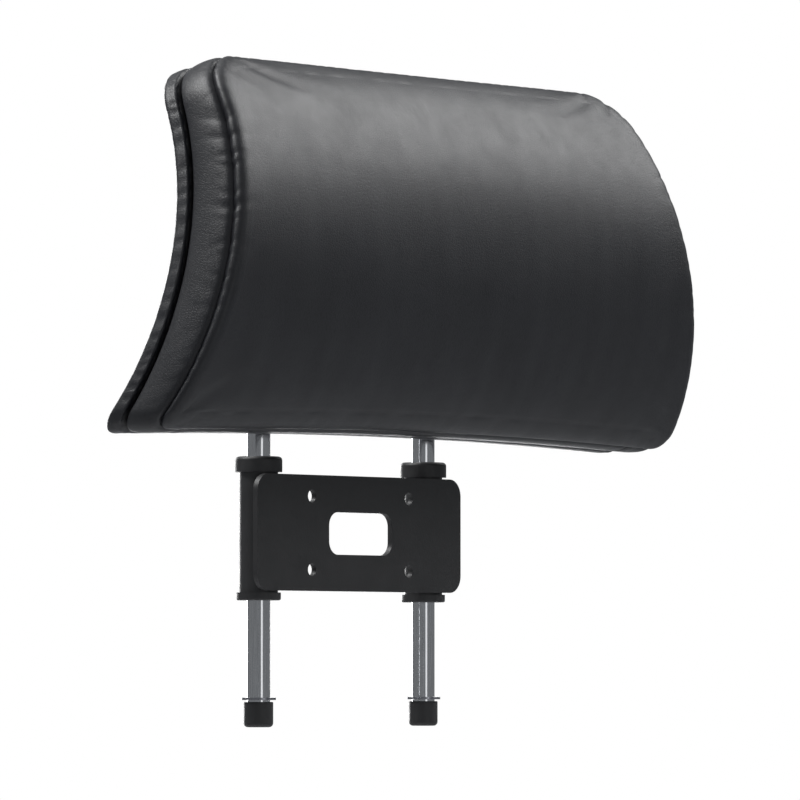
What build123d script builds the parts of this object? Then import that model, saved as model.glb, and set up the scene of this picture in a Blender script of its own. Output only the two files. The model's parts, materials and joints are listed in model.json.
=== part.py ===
from build123d import *

import os
from math import cos, hypot, radians, sin, sqrt

# Chair headrest attachment: an upholstered, curved headrest pad that tilts on the cross bar of a
# U-shaped steel rod, whose two legs slide in a bracket that bolts to a chair's back.
#
# Millimetres. +X is the sitter's left, -Y is forward (towards the sitter), +Z is up.
# The origin is the centre of the four bolt holes, on the bracket plate's front (mounting) face.

# ---------------------------------------------------------------- driving dimensions
# Mounting plate, which bolts to the chair's back
PLATE_W, PLATE_H, PLATE_T = 168.0, 60.0, 3.0
PLATE_CORNER_R = 9.0
BOLT_DX, BOLT_DZ, BOLT_R = 80.0, 38.0, 3.3
WINDOW_W, WINDOW_H, WINDOW_R = 52.0, 22.0, 7.0

# Guide tubes, welded to the plate, and the nylon bushes in their ends
TUBE_R, TUBE_BORE_R, TUBE_HALF = 10.0, 8.0, 31.0
TUBE_SINK = 0.4  # how deep the tube's back sits in the plate
UPPER_FLANGE_R, UPPER_FLANGE_T, UPPER_SLEEVE = 12.2, 8.0, 24.0
LOWER_FLANGE_R, LOWER_FLANGE_T, LOWER_SLEEVE = 11.5, 4.0, 16.0
RUNNING = 0.06  # radial clearance of the rod in a bush or liner
FIT = 0.02  # radial clearance of a bush in its seat

# U-shaped support rod
ROD_R = 6.0
LEG_X = 68.0
ROD_BEND_R = 22.0
ROD_Y = PLATE_T + TUBE_R - TUBE_SINK
TRAVEL = 50.0
DETENT_PITCH = 12.5
DETENT_R, DETENT_H = 5.2, 2.2
WIRE_R = 0.8  # detent clip's wire
STOP_T, STOP_GROOVE_R, STOP_R = 1.2, 5.0, 9.0

# Headrest pad. Its faces are arcs about axes parallel to X, bulging towards the sitter.
PAD_BELOW, PAD_ABOVE = 92.5, 101.3  # from the pad's axis height to its bottom and top edges
PAD_GAP = 7.5  # pad's bottom edge above the upper bushes, with the headrest right down
PAD_BOTTOM = TUBE_HALF + UPPER_FLANGE_T + PAD_GAP
PAD_Z = PAD_BOTTOM + PAD_BELOW
HALF_W, TAPER = 191.0, 0.226  # half width at the axis height, and how fast it narrows upwards
TOP_CORNER_R, BOTTOM_CORNER_R = 34.0, 10.0
TOP_SLOPE = 0.25  # how fast the top edge falls towards the rear
BOTTOM_ARCH = 4.0
STANDOFF = 45.0  # rod axis to the rear face, at the axis height
EDGE_T = 45.0  # pad's full depth at its edges
REAR_R, FRONT_R = 148.0, 142.5
REAR_C = ROD_Y - STANDOFF + REAR_R  # y of the rear arcs' common axis
FRONT_C = ROD_Y - STANDOFF - EDGE_T + FRONT_R  # y of the front arcs' axis

# Layers of the pad, from the rear, as depths from the rear face
REAR_LEATHER, REAR_EDGE_R = 1.2, 3.0
SHELL_REAR, SHELL_FLOOR, SHELL_RIM = 1.25, 4.2, 8.5
SHELL_WALL = 2.8
BOSS_GAP = 1.2  # between the shell's bosses and the board
BOARD_REAR, BOARD_FRONT = 12.0, 20.0
LEATHER = 1.3
COVER_INSET = 0.8  # upholstered part, inside the rear shell's outline
COVER_EDGE_R = 9.0
SEAM_DEPTH = 8.5  # front seam behind the front face
SEAM_GAP = 0.05  # half the gap between two panels at a seam
STRIP_TOP_X, STRIP_BOTTOM_X = 122.0, 186.0  # where the top and bottom strips meet the side gussets
STRIP_TOP_Z, STRIP_BOTTOM_Z = 60.0, -70.0  # how far in the strips may reach, from the axis height
TURN_IN = 16.0  # leather turned over the board's rear edge

# Tilt bracket and its two clamps on the rod's cross bar
TILT_BACK, TILT_FORWARD = 25.0, 3.0
BRACKET_W, BRACKET_H, BRACKET_T = 106.0, 56.0, 5.0
SEAT_Y = -REAR_R + REAR_C + 4.0  # flat seat for the bracket on the rear shell
ARM_X, ARM_W = 26.0, 20.0
ARM_BASE_H, ARM_TIP_H = 46.0, 35.0
LINER_R = 8.0
SPLIT_GAP = 0.8
CAP_EAR_T, CAP_BOSS_R = 6.5, 12.5
CLAMP_SCREW_DZ, CLAMP_SCREW_R = 13.0, 2.5
BRACKET_SCREW_X, BRACKET_SCREW_DZ, BRACKET_SCREW_R = 44.0, 18.0, 3.0
STOP_PIN_R, STOP_PIN_OUT = 2.0, 8.0
POST_W, POST_H = 12.0, 34.0


# Push-in clips between the rear shell and the board, as x and angle above the pad's axis
CLIPS = [(-125, 18), (125, 18), (-158, -22), (158, -22), (0, 18), (0, -22)]
CLIP_R, CLIP_COLLAR_R, CLIP_COLLAR_T, CLIP_BARB_R = 2.6, 5.5, 1.0, 3.4
SCREW_CLEAR = 0.3  # radial clearance of a screw in its hole
PAD_CLEAR = 0.1  # between the pad's inner layers
TEE_FLANGE_R, TEE_FLANGE_T = 9.0, 1.2
TEE_BARREL_R, TEE_BARREL = 4.0, 6.0
STAPLE_W, STAPLE_WIRE, STAPLE_LEG = 10.0, 0.9, 6.0
STAPLE_PITCH = 30
STAPLE_TOP_ANGLE, STAPLE_BOTTOM_ANGLE = 33.5, -31.0
STAPLE_SIDE_ANGLES = (-20, -10, 0, 10, 20)
STAPLE_EDGE = 12.0  # side staples in from the pad's edge
SHELL_BOSS_R, CLIP_BOSS_R = 8.0, 6.5
BIG = 600.0

parts = {}


# ---------------------------------------------------------------- helpers
def cylinder_x(radius, y, z, length=BIG, x=0.0):
    """Cylinder along X."""
    return Pos(x, y, z) * Rot(0, 90, 0) * Cylinder(radius, length)


def cylinder_y(radius, x, z, y0, y1):
    """Cylinder along Y, from y0 to y1."""
    return Pos(x, (y0 + y1) / 2, z) * Rot(90, 0, 0) * Cylinder(radius, abs(y1 - y0))


def cylinder_z(radius, x, y, z0, z1):
    """Cylinder along Z, from z0 to z1."""
    return Pos(x, y, (z0 + z1) / 2) * Cylinder(radius, z1 - z0)


def block(x0, x1, y0, y1, z0, z1):
    """Box between two corners."""
    return Pos((x0 + x1) / 2, (y0 + y1) / 2, (z0 + z1) / 2) * Box(x1 - x0, y1 - y0, z1 - z0)


def inside_rear_arc(depth):
    """All that lies behind the surface `depth` in front of the pad's rear face."""
    return cylinder_x(REAR_R + depth, REAR_C, PAD_Z)


def inside_front_arc(depth):
    """All that lies behind the surface `depth` behind the pad's front face."""
    return cylinder_x(FRONT_R, FRONT_C + depth, PAD_Z)


def outline(y, inset):
    """The pad's front-view outline at depth y: a rounded trapezium, lower towards the rear."""
    front_top_y = FRONT_C - sqrt(FRONT_R**2 - PAD_ABOVE**2)
    top = PAD_ABOVE + (front_top_y - y) * TOP_SLOPE - inset * hypot(1, TOP_SLOPE)
    bottom = -PAD_BELOW + inset
    side_inset = inset * hypot(1, TAPER)
    half_top = HALF_W - TAPER * top - side_inset
    half_bottom = HALF_W - TAPER * bottom - side_inset
    a, b = (-half_bottom, bottom), (half_bottom, bottom)
    c, d = (half_top, top), (-half_top, top)
    with BuildSketch(Plane(origin=(0, y, PAD_Z), x_dir=(1, 0, 0), z_dir=(0, -1, 0))) as sketch:
        with BuildLine():
            ThreePointArc(a, (0, bottom + BOTTOM_ARCH), b)
            Polyline(b, c, d, a)
        make_face()
        corners = sketch.vertices().sort_by(Axis.Y)
        fillet(corners[:2], max(BOTTOM_CORNER_R - inset, 2))
        fillet(sketch.vertices().sort_by(Axis.Y)[-2:], max(TOP_CORNER_R - inset, 2))
    return sketch.sketch


def outline_block(inset):
    """Solid of that outline through the whole depth of the pad."""
    return loft([outline(-100, inset), outline(20, inset)], ruled=True)


def in_front_of_axis(solid):
    """Part of a solid in front of the arcs' axes, where the pad is."""
    return solid & block(-BIG, BIG, -BIG, REAR_C - REAR_R / 2, -BIG, BIG)


def rear_plane(x, angle, depth=0.0):
    """Plane facing rearwards, `depth` in front of the rear face, at that angle above the axis."""
    a = radians(angle)
    r = REAR_R + depth
    return Plane(
        origin=(x, REAR_C - r * cos(a), PAD_Z + r * sin(a)),
        x_dir=(1, 0, 0),
        z_dir=(0, cos(a), -sin(a)),
    )


def peg(plane, radius, z0, z1):
    """Cylinder along a plane's normal, from z0 to z1 above it."""
    return plane * Pos(0, 0, (z0 + z1) / 2) * Cylinder(radius, z1 - z0)


def front_edges(solid):
    """Edges of a pad solid that lie on its front face."""
    face = solid.faces().filter_by(GeomType.CYLINDER).sort_by(Axis.Y)[0]
    return face.edges()


# ---------------------------------------------------------------- bracket on the chair's back
def mounting_plate():
    with BuildSketch(Plane.XZ) as sketch:
        RectangleRounded(PLATE_W, PLATE_H, PLATE_CORNER_R)
        with GridLocations(BOLT_DX, BOLT_DZ, 2, 2):
            Circle(BOLT_R, mode=Mode.SUBTRACT)
        RectangleRounded(WINDOW_W, WINDOW_H, WINDOW_R, mode=Mode.SUBTRACT)
    plate = extrude(sketch.sketch, amount=-PLATE_T)
    for side in (-1, 1):
        plate -= cylinder_z(TUBE_R, side * LEG_X, ROD_Y, -BIG / 2, BIG / 2)
    return plate


def guide_tube(side):
    """Tube with the two weld beads that hold it to the plate."""
    x = side * LEG_X
    tube = cylinder_z(TUBE_R, x, ROD_Y, -TUBE_HALF, TUBE_HALF)
    bead_half = TUBE_HALF - 6
    bead_x, bead_y = 7.2, PLATE_T + 3.4
    bead = block(x - bead_x, x + bead_x, PLATE_T, bead_y, -bead_half, bead_half)
    bead = chamfer(bead.edges().filter_by(Axis.Z).group_by(Axis.Y)[-1], 1.6)
    return tube + bead - cylinder_z(TUBE_BORE_R, x, ROD_Y, -TUBE_HALF, TUBE_HALF)


def upper_bush(side):
    """Flanged nylon bush with a groove inside for the detent clip."""
    x, top = side * LEG_X, TUBE_HALF + UPPER_FLANGE_T
    flange = cylinder_z(UPPER_FLANGE_R, x, ROD_Y, TUBE_HALF, top)
    flange = fillet(flange.edges().group_by(Axis.Z)[-1], 2.0)
    bush = flange + cylinder_z(TUBE_BORE_R - FIT, x, ROD_Y, TUBE_HALF - UPPER_SLEEVE, TUBE_HALF)
    bush -= cylinder_z(ROD_R + RUNNING, x, ROD_Y, -BIG / 2, BIG / 2)
    clip_z = detent_z(0)
    room = WIRE_R + 0.3
    return bush - cylinder_z(ROD_R + 2.4, x, ROD_Y, clip_z - room, clip_z + room)


def lower_bush(side):
    x = side * LEG_X
    flange = cylinder_z(LOWER_FLANGE_R, x, ROD_Y, -TUBE_HALF - LOWER_FLANGE_T, -TUBE_HALF)
    flange = fillet(flange.edges().group_by(Axis.Z)[0], 1.0)
    bush = flange + cylinder_z(TUBE_BORE_R - FIT, x, ROD_Y, -TUBE_HALF, -TUBE_HALF + LOWER_SLEEVE)
    return bush - cylinder_z(ROD_R + RUNNING, x, ROD_Y, -BIG / 2, BIG / 2)


def detent_z(step):
    """Height of a detent groove on the rod, with the headrest right down. Step 0 is in use."""
    return TUBE_HALF + UPPER_FLANGE_T / 2 - step * DETENT_PITCH


def detent_clip(side):
    """Open ring of spring wire that snaps into the rod's grooves."""
    ring = Torus(DETENT_R + WIRE_R + 0.1, WIRE_R, major_angle=290)
    return Pos(side * LEG_X, ROD_Y, detent_z(0)) * Rot(0, 0, 125 if side > 0 else -15) * ring


# ---------------------------------------------------------------- support rod
ROD_END = -TUBE_HALF - LOWER_FLANGE_T - TRAVEL - STOP_T - 12.0
STOP_Z = -TUBE_HALF - LOWER_FLANGE_T - TRAVEL - STOP_T / 2


def support_rod():
    """Round bar bent to a U, with detent grooves and a stop groove on each leg."""
    path = FilletPolyline(
        (-LEG_X, ROD_Y, ROD_END),
        (-LEG_X, ROD_Y, PAD_Z),
        (LEG_X, ROD_Y, PAD_Z),
        (LEG_X, ROD_Y, ROD_END),
        radius=ROD_BEND_R,
    )
    rod = sweep(Plane(origin=path @ 0, z_dir=path % 0) * Circle(ROD_R), path=path)
    rod = chamfer(rod.edges().group_by(Axis.Z)[0], 1.2)
    steps = int(TRAVEL / DETENT_PITCH) + 1
    for side in (-1, 1):
        x = side * LEG_X
        grooves = [(detent_z(s), DETENT_H / 2, DETENT_R) for s in range(steps)]
        grooves.append((STOP_Z, STOP_T / 2 + 0.05, STOP_GROOVE_R))
        for z, half, radius in grooves:
            ring = cylinder_z(ROD_R + 1, x, ROD_Y, z - half, z + half)
            rod -= ring - cylinder_z(radius, x, ROD_Y, z - half, z + half)
    pin_hole = cylinder_y(STOP_PIN_R, 0, PAD_Z, ROD_Y - ROD_R - 1, ROD_Y + 3)
    return rod - pin_hole


def stop_ring(side):
    """Retaining ring that keeps the leg from being pulled out of its tube."""
    x = side * LEG_X
    ring = cylinder_z(STOP_R, x, ROD_Y, STOP_Z - STOP_T / 2, STOP_Z + STOP_T / 2)
    ring -= cylinder_z(STOP_GROOVE_R + 0.05, x, ROD_Y, STOP_Z - STOP_T, STOP_Z + STOP_T)
    mouth = block(x - 3.6, x + 3.6, ROD_Y, ROD_Y + BIG / 2, STOP_Z - 2, STOP_Z + 2)
    return ring - mouth


def rod_end_cap(side):
    """Plastic cap pushed on the leg's lower end."""
    x, top = side * LEG_X, STOP_Z - STOP_T / 2 - 1.0
    bottom = ROD_END - 2.0
    cap = cylinder_z(ROD_R + 1.6, x, ROD_Y, bottom, top)
    cap = fillet(cap.edges().group_by(Axis.Z)[0], 2.2)
    cap = fillet(cap.edges().group_by(Axis.Z)[-1], 0.5)
    return cap - cylinder_z(ROD_R + FIT, x, ROD_Y, ROD_END, top + 1)


def tilt_stop_pin():
    """Pin in the cross bar that meets the bracket at the ends of the tilt."""
    pin = cylinder_y(STOP_PIN_R - FIT, 0, PAD_Z, ROD_Y - ROD_R - STOP_PIN_OUT, ROD_Y + 3)
    return chamfer(pin.edges().group_by(Axis.Y)[0], 0.5)


# ---------------------------------------------------------------- tilt bracket and clamps
PLATE_REAR = SEAT_Y + BRACKET_T
CRADLE_END = ROD_Y - SPLIT_GAP / 2
CAP_START = ROD_Y + SPLIT_GAP / 2
EAR_REAR = CAP_START + CAP_EAR_T


def cradle_arm(x):
    """Arm from the bracket's plate to the rod, with a half bore at its tip."""
    base, tip = ARM_BASE_H / 2, ARM_TIP_H / 2
    y0, y1, y2 = PLATE_REAR - 1, ROD_Y - 14, CRADLE_END
    with BuildSketch(Plane.YZ.offset(x - ARM_W / 2)) as sketch:
        with BuildLine():
            Polyline(
                (y0, PAD_Z - base),
                (y1, PAD_Z - tip),
                (y2, PAD_Z - tip),
                (y2, PAD_Z + tip),
                (y1, PAD_Z + tip),
                (y0, PAD_Z + base),
                close=True,
            )
        make_face()
    return extrude(sketch.sketch, amount=ARM_W)


def stop_post():
    """Post between the arms. The stop pin swings in its slot as the pad tilts."""
    reach = ROD_R + STOP_PIN_OUT
    half = POST_W / 2
    post = block(-half, half, PLATE_REAR - 1, ROD_Y - ROD_R - 1.5, PAD_Z - POST_H / 2, PAD_Z + POST_H / 2)
    post = chamfer(post.edges().filter_by(Axis.X).group_by(Axis.Y)[-1], 3.0)
    hinge = Plane(origin=(0, ROD_Y, PAD_Z), x_dir=(0, 1, 0), z_dir=(1, 0, 0))
    first, last = 180 - TILT_FORWARD, 180 + TILT_BACK
    axis_at_origin = (Align.NONE, Align.NONE, Align.CENTER)
    sector = Cylinder(reach + 1.0, POST_W + 2, arc_size=last - first, align=axis_at_origin)
    swept = Rot(0, 0, first) * sector
    for angle in (first, last):
        swept += Rot(0, 0, angle) * Pos(reach / 2 + 1, 0, 0) * Box(reach, 2 * STOP_PIN_R + 0.3, POST_W + 2)
    return post - hinge * swept


def tilt_bracket():
    half_w, half_h = BRACKET_W / 2, BRACKET_H / 2
    plate = block(-half_w, half_w, SEAT_Y, PLATE_REAR, PAD_Z - half_h, PAD_Z + half_h)
    plate = fillet(plate.edges().filter_by(Axis.Y), 10)
    plate = fillet(plate.faces().sort_by(Axis.Y)[-1].edges(), 1.2)
    bracket = plate + cradle_arm(-ARM_X) + cradle_arm(ARM_X) + stop_post()
    bracket -= cylinder_x(LINER_R, ROD_Y, PAD_Z, 3 * ARM_X)
    for x in (-ARM_X, ARM_X):
        for dz in (-CLAMP_SCREW_DZ, CLAMP_SCREW_DZ):
            bracket -= cylinder_y(CLAMP_SCREW_R + FIT, x, PAD_Z + dz, ROD_Y - 15, ROD_Y + 1)
    for x, z in tee_nut_places():
        bracket -= cylinder_y(BRACKET_SCREW_R + SCREW_CLEAR, x, z, SEAT_Y - 1, PLATE_REAR + 1)
    return bracket


def clamp_cap(x):
    """Rear half of a clamp: a half-round boss with two ears."""
    tip = ARM_TIP_H / 2
    ears = block(x - ARM_W / 2, x + ARM_W / 2, CAP_START, EAR_REAR, PAD_Z - tip, PAD_Z + tip)
    ears = fillet(ears.edges().filter_by(Axis.X).group_by(Axis.Y)[-1], 2.5)
    boss = cylinder_x(CAP_BOSS_R, ROD_Y, PAD_Z, ARM_W, x)
    boss &= block(x - ARM_W, x + ARM_W, CAP_START, ROD_Y + 30, PAD_Z - 30, PAD_Z + 30)
    cap = ears + boss - cylinder_x(LINER_R, ROD_Y, PAD_Z, BIG / 5, x)
    for dz in (-CLAMP_SCREW_DZ, CLAMP_SCREW_DZ):
        cap -= cylinder_y(CLAMP_SCREW_R + SCREW_CLEAR, x, PAD_Z + dz, CAP_START - 1, ROD_Y + 20)
        cap -= cylinder_y(5.0, x, PAD_Z + dz, EAR_REAR - 0.6, ROD_Y + 20)
    return cap


def friction_liner(x):
    """Split nylon sleeve that grips the rod inside a clamp."""
    sleeve = cylinder_x(LINER_R - FIT, ROD_Y, PAD_Z, ARM_W + 3, x)
    for side in (-1, 1):
        sleeve += cylinder_x(LINER_R + 1.6, ROD_Y, PAD_Z, 1.5, x + side * (ARM_W / 2 + 0.77))
    sleeve -= cylinder_x(ROD_R + RUNNING, ROD_Y, PAD_Z, BIG / 5, x)
    return sleeve - block(x - ARM_W, x + ARM_W, ROD_Y - 0.5, ROD_Y + 0.5, PAD_Z, PAD_Z + 20)


def socket_screw(x, z, head_y, length, radius, head_r, head_t):
    """Cap screw pointing forwards, with a hexagon socket. head_y is where the head seats."""
    head = cylinder_y(head_r, x, z, head_y, head_y + head_t)
    head = fillet(head.edges().group_by(Axis.Y)[-1], 0.6)
    socket_plane = Plane(origin=(x, head_y + head_t, z), z_dir=(0, -1, 0))
    socket = extrude(socket_plane * RegularPolygon(head_r * 0.56, 6), amount=head_t * 0.6)
    shank = cylinder_y(radius, x, z, head_y - length, head_y)
    shank = chamfer(shank.edges().group_by(Axis.Y)[0], 0.6)
    return head - socket + shank


def clamp_screws():
    seat = EAR_REAR - 0.6 + 1.2
    radius = CLAMP_SCREW_R - FIT
    return [
        socket_screw(x, PAD_Z + dz, seat, 18, radius, 4.2, 4.6)
        for x in (-ARM_X, ARM_X)
        for dz in (-CLAMP_SCREW_DZ, CLAMP_SCREW_DZ)
    ]


def clamp_washers():
    """Spring washers under the clamp screws."""
    y0 = EAR_REAR - 0.6
    made = []
    for x in (-ARM_X, ARM_X):
        for dz in (-CLAMP_SCREW_DZ, CLAMP_SCREW_DZ):
            ring = cylinder_y(4.6, x, PAD_Z + dz, y0, y0 + 1.2)
            made.append(ring - cylinder_y(CLAMP_SCREW_R + 0.2, x, PAD_Z + dz, y0 - 1, y0 + 2))
    return made


BOARD_SEAT_Y = REAR_C - REAR_R - BOARD_FRONT + 2.5  # where the tee nuts' flanges seat


def tee_nut_places():
    return [
        (x, PAD_Z + dz)
        for x in (-BRACKET_SCREW_X, BRACKET_SCREW_X)
        for dz in (-BRACKET_SCREW_DZ, BRACKET_SCREW_DZ)
    ]


def bracket_screws():
    length = PLATE_REAR - BOARD_SEAT_Y - 1
    radius = BRACKET_SCREW_R - FIT
    return [socket_screw(x, z, PLATE_REAR, length, radius, 5.2, 3.4) for x, z in tee_nut_places()]


# ---------------------------------------------------------------- pad
def tee_nuts():
    made = []
    for x, z in tee_nut_places():
        flange = cylinder_y(TEE_FLANGE_R, x, z, BOARD_SEAT_Y - TEE_FLANGE_T, BOARD_SEAT_Y)
        barrel = cylinder_y(TEE_BARREL_R, x, z, BOARD_SEAT_Y, BOARD_SEAT_Y + TEE_BARREL)
        bore = cylinder_y(BRACKET_SCREW_R + FIT, x, z, BOARD_SEAT_Y - 2, BOARD_SEAT_Y + 8)
        made.append(flange + barrel - bore)
    return made


def backboard():
    """Pressed plywood board that carries the foam, the cover and the bracket."""
    board = inside_rear_arc(BOARD_FRONT) - inside_rear_arc(BOARD_REAR)
    board &= outline_block(COVER_INSET + LEATHER + PAD_CLEAR)
    for x, z in tee_nut_places():
        board -= cylinder_y(TEE_BARREL_R + FIT, x, z, BOARD_SEAT_Y - 5, BOARD_SEAT_Y + TEE_BARREL)
        board -= cylinder_y(BRACKET_SCREW_R + SCREW_CLEAR, x, z, BOARD_SEAT_Y, BOARD_SEAT_Y + 40)
        board -= cylinder_y(TEE_FLANGE_R + 0.5, x, z, BOARD_SEAT_Y - 20, BOARD_SEAT_Y)
    for x, angle in CLIPS:
        board -= peg(rear_plane(x, angle, BOARD_REAR), CLIP_BARB_R + FIT, -7, 1)
    return board


def foam_pad():
    inside_cover = outline_block(COVER_INSET + LEATHER + PAD_CLEAR)
    foam = in_front_of_axis(inside_front_arc(LEATHER + PAD_CLEAR) & inside_cover)
    foam = fillet(front_edges(foam), COVER_EDGE_R - LEATHER)
    foam -= inside_rear_arc(BOARD_FRONT + PAD_CLEAR)
    for x, z in tee_nut_places():
        foam -= cylinder_y(TEE_FLANGE_R + 1, x, z, BOARD_SEAT_Y - 2.0, BOARD_SEAT_Y + 20)
    return foam


def cover_body():
    """The sewn leather cover as one skin, open over the middle of the board's rear."""
    outer = in_front_of_axis(inside_front_arc(0) & outline_block(COVER_INSET))
    outer = fillet(front_edges(outer), COVER_EDGE_R)
    inner = in_front_of_axis(inside_front_arc(LEATHER) & outline_block(COVER_INSET + LEATHER))
    inner = fillet(front_edges(inner), COVER_EDGE_R - LEATHER)
    turned_in = outer - inside_rear_arc(BOARD_REAR - LEATHER)
    hollow = inner - inside_rear_arc(BOARD_REAR)
    opening = outline_block(COVER_INSET + TURN_IN) & inside_rear_arc(BOARD_REAR)
    return turned_in - hollow - opening


def cover_panels():
    """The cover's five panels: the front, and the top, bottom and side strips behind the front seam."""
    cover = cover_body()
    front = cover - inside_front_arc(SEAM_DEPTH - SEAM_GAP)
    strips = cover & inside_front_arc(SEAM_DEPTH + SEAM_GAP)
    over, under = PAD_Z + STRIP_TOP_Z, PAD_Z + STRIP_BOTTOM_Z
    top_x, bottom_x = STRIP_TOP_X - SEAM_GAP, STRIP_BOTTOM_X - SEAM_GAP
    top_zone = block(-top_x, top_x, -BIG, BIG, over, BIG)
    bottom_zone = block(-bottom_x, bottom_x, -BIG, BIG, -BIG, under)
    top_end, bottom_end = STRIP_TOP_X + SEAM_GAP, STRIP_BOTTOM_X + SEAM_GAP
    sides = strips - block(-top_end, top_end, -BIG, BIG, over, BIG)
    sides -= block(-bottom_end, bottom_end, -BIG, BIG, -BIG, under)
    return {
        "cover_front_panel": front,
        "cover_top_strip": strips & top_zone,
        "cover_bottom_strip": strips & bottom_zone,
        "cover_gusset_right": sides & block(-BIG, 0, -BIG, BIG, -BIG, BIG),
        "cover_gusset_left": sides & block(0, BIG, -BIG, BIG, -BIG, BIG),
    }


def staples():
    """Staples that hold the turned-in leather to the board's rear."""
    spots = [(x, STAPLE_TOP_ANGLE, 0) for x in range(-120, 121, STAPLE_PITCH)]
    spots += [(x, STAPLE_BOTTOM_ANGLE, 0) for x in range(-180, 181, STAPLE_PITCH)]
    for side in (-1, 1):
        for angle in STAPLE_SIDE_ANGLES:
            half_width = HALF_W - TAPER * REAR_R * sin(radians(angle))
            spots.append((side * (half_width - STAPLE_EDGE), angle, 90))
    wire = STAPLE_WIRE
    made = []
    for x, angle, turn in spots:
        place = rear_plane(x, angle, BOARD_REAR - LEATHER) * Rot(0, 0, turn)
        staple = place * Pos(0, 0, wire / 2) * Box(STAPLE_W, wire, wire)
        for end in (-1, 1):
            leg_place = Pos(end * (STAPLE_W - wire) / 2, 0, -STAPLE_LEG / 2 + wire / 4)
            staple += place * leg_place * Box(wire, wire, STAPLE_LEG)
        made.append(staple)
    return made


def rear_edges(solid):
    """Edges round a pad solid's rear face."""
    face = solid.faces().filter_by(GeomType.CYLINDER).sort_by(Axis.Y)[-1]
    return face.edges()


def rear_slab(rear_depth, inset, edge_r):
    """Solid from `rear_depth` to the shell's rim, with its rear edge rounded."""
    slab = in_front_of_axis(inside_rear_arc(SHELL_RIM) & outline_block(inset))
    slab -= inside_rear_arc(rear_depth)
    return fillet(rear_edges(slab), edge_r)


def rear_shell():
    """Moulded shell with a rim, bosses for its clips and bosses for the bracket's screws."""
    shell = rear_slab(SHELL_REAR, SHELL_REAR, REAR_EDGE_R - SHELL_REAR)
    shell -= outline_block(SHELL_REAR + SHELL_WALL) - inside_rear_arc(SHELL_FLOOR)
    top = inside_rear_arc(BOARD_REAR - BOSS_GAP)
    wall_middle = (SHELL_REAR + SHELL_FLOOR) / 2
    for x, z in tee_nut_places():
        shell += (cylinder_y(SHELL_BOSS_R, x, z, SEAT_Y - 20, SEAT_Y) & top) - inside_rear_arc(wall_middle)
    for x, angle in CLIPS:
        shell += peg(rear_plane(x, angle), CLIP_BOSS_R, -BOARD_REAR + BOSS_GAP, -wall_middle)
    for x, z in tee_nut_places():
        shell -= cylinder_y(BRACKET_SCREW_R + SCREW_CLEAR, x, z, SEAT_Y - 40, SEAT_Y + 5)
    for x, angle in CLIPS:
        shell -= peg(rear_plane(x, angle), CLIP_R + FIT, -20, -SHELL_FLOOR)
    return shell


def rear_cover():
    """Leather glued over the shell's rear and rim."""
    cover = rear_slab(0, 0, REAR_EDGE_R)
    cover -= outline_block(REAR_LEATHER) - inside_rear_arc(REAR_LEATHER)
    for x, z in tee_nut_places():
        cover -= cylinder_y(BRACKET_SCREW_R + 0.5, x, z, SEAT_Y - 40, SEAT_Y + 5)
    return cover


def bracket_spacer():
    """Moulded pad that gives the tilt bracket a flat seat on the curved rear."""
    half_w, half_h = BRACKET_W / 2 + 4, BRACKET_H / 2 + 4
    spacer = block(-half_w, half_w, SEAT_Y - 10, SEAT_Y, PAD_Z - half_h, PAD_Z + half_h)
    spacer = fillet(spacer.edges().filter_by(Axis.Y), 12)
    spacer = fillet(spacer.faces().sort_by(Axis.Y)[-1].edges(), 1.0)
    spacer &= inside_rear_arc(0)
    for x, z in tee_nut_places():
        spacer -= cylinder_y(BRACKET_SCREW_R + SCREW_CLEAR, x, z, SEAT_Y - 40, SEAT_Y + 5)
    return spacer


def shell_clips():
    """Barbed nylon pins that hold the rear shell to the board."""
    made = []
    for x, angle in CLIPS:
        plane = rear_plane(x, angle)
        collar_top = -BOARD_REAR + PAD_CLEAR + CLIP_COLLAR_T
        clip = peg(plane, CLIP_R, -BOARD_REAR - 6.0, -SHELL_FLOOR - 0.3)
        clip += peg(plane, CLIP_COLLAR_R, collar_top - CLIP_COLLAR_T, collar_top)
        for step in range(3):
            place = Pos(0, 0, -BOARD_REAR - 1.6 - 1.8 * step)
            clip += plane * place * Cone(CLIP_R - 0.1, CLIP_BARB_R, 1.4)
        made.append(clip)
    return made


# ---------------------------------------------------------------- build and export
def main():
    parts["mounting_plate"] = mounting_plate()
    for name, side in (("right", -1), ("left", 1)):
        parts[f"guide_tube_{name}"] = guide_tube(side)
        parts[f"upper_bush_{name}"] = upper_bush(side)
        parts[f"lower_bush_{name}"] = lower_bush(side)
        parts[f"detent_clip_{name}"] = detent_clip(side)
        parts[f"stop_ring_{name}"] = stop_ring(side)
        parts[f"rod_end_cap_{name}"] = rod_end_cap(side)
        parts[f"clamp_cap_{name}"] = clamp_cap(side * ARM_X)
        parts[f"friction_liner_{name}"] = friction_liner(side * ARM_X)
    parts["support_rod"] = support_rod()
    parts["tilt_stop_pin"] = tilt_stop_pin()
    parts["tilt_bracket"] = tilt_bracket()
    parts["clamp_screws"] = Compound(clamp_screws())
    parts["clamp_washers"] = Compound(clamp_washers())
    parts["bracket_screws"] = Compound(bracket_screws())
    parts["tee_nuts"] = Compound(tee_nuts())
    parts["backboard"] = backboard()
    parts["foam_pad"] = foam_pad()
    parts.update(cover_panels())
    parts["cover_staples"] = Compound(staples())
    parts["rear_shell"] = rear_shell()
    parts["rear_cover"] = rear_cover()
    parts["bracket_spacer"] = bracket_spacer()
    parts["shell_clips"] = Compound(shell_clips())
    os.makedirs("parts", exist_ok=True)
    for name, shape in parts.items():
        export_step(shape, f"parts/{name}.step")
        print(name, len(shape.solids()), round(shape.volume))


main()
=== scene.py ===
import json
import math

import bpy
import numpy as np
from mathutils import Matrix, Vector
from mathutils.kdtree import KDTree


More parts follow.
